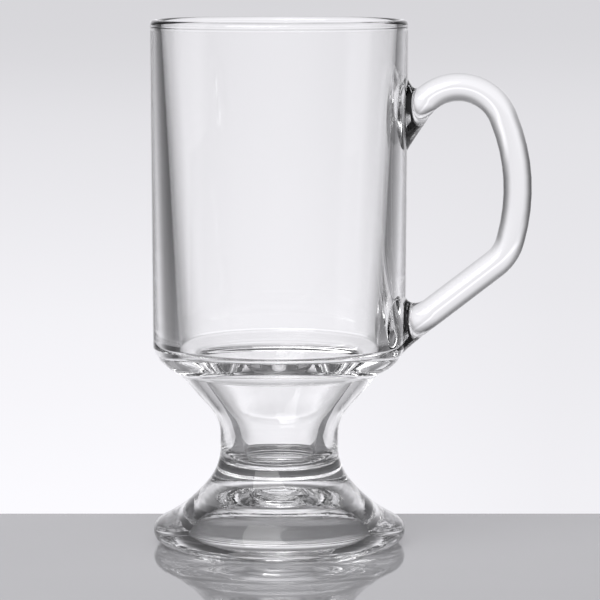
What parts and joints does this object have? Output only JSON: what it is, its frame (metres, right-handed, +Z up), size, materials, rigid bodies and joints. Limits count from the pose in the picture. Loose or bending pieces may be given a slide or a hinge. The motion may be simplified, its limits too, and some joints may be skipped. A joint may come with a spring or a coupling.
{
  "type": "irish coffee glass mug",
  "caption": "Footed clear glass mug for hot drinks: tall straight bowl with a rounded lip, a tapered well in a short stem, a round foot and an ear-shaped side handle.",
  "frame": {"origin": "on the bowl's axis, on the surface that the foot stands on", "axes": "+Z up along the bowl's axis, +X from the axis to the handle, +Y to the back when the handle is at the right"},
  "size_m": [0.1077, 0.073, 0.149],
  "materials": {
    "clear_glass": "clear pressed soda-lime glass, fire polished"
  },
  "bodies": {
    "root": {"bowl": "clear_glass", "foot": "clear_glass", "handle": "clear_glass"}
  },
  "joints": []
}
